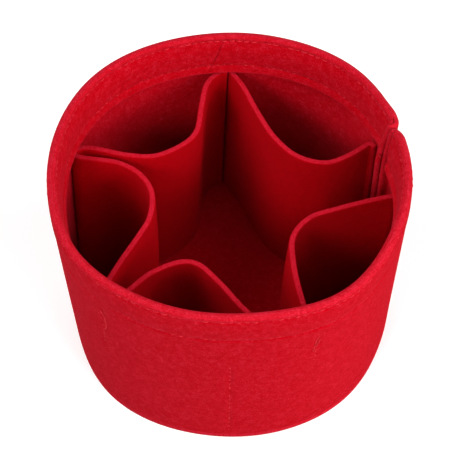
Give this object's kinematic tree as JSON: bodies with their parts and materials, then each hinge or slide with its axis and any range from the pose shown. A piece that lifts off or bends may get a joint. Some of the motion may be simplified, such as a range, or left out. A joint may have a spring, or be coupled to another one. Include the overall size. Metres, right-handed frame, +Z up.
{
  "type": "felt bucket bag insert",
  "caption": "Round felt tub that stands open and sorts make-up: tapered wall, flat base, stitched faced rim and looped pocket panels round a central well.",
  "frame": {"origin": "centre of the base disc's underside, on the surface that the tub stands on", "axes": "+Z up the tub's axis, +Y to the rear and +X to the right as the picture shows it"},
  "size_m": [0.1815, 0.1815, 0.118],
  "materials": {
    "red_felt": "matt needled felt, 3 mm thick",
    "red_thread": "satin sewing thread"
  },
  "bodies": {
    "root": {"base_disc": "red_felt", "outer_wall": "red_felt", "rim_facing_short": "red_felt", "rim_facing_long": "red_felt", "pocket_panel_rear_right": "red_felt", "pocket_panel_rear_left": "red_felt", "pocket_panel_left": "red_felt", "pocket_panel_front": "red_felt", "pocket_panel_right": "red_felt", "rim_stitch_outer": "red_thread", "rim_stitch_inner": "red_thread", "facing_stitch_outer": "red_thread", "facing_stitch_inner": "red_thread", "base_stitch": "red_thread", "pocket_stitch_rear": "red_thread", "pocket_stitch_left": "red_thread", "pocket_stitch_front_left": "red_thread", "pocket_stitch_front_right": "red_thread", "front_stitch": "red_thread", "wall_seam_stitch": "red_thread"}
  },
  "joints": []
}
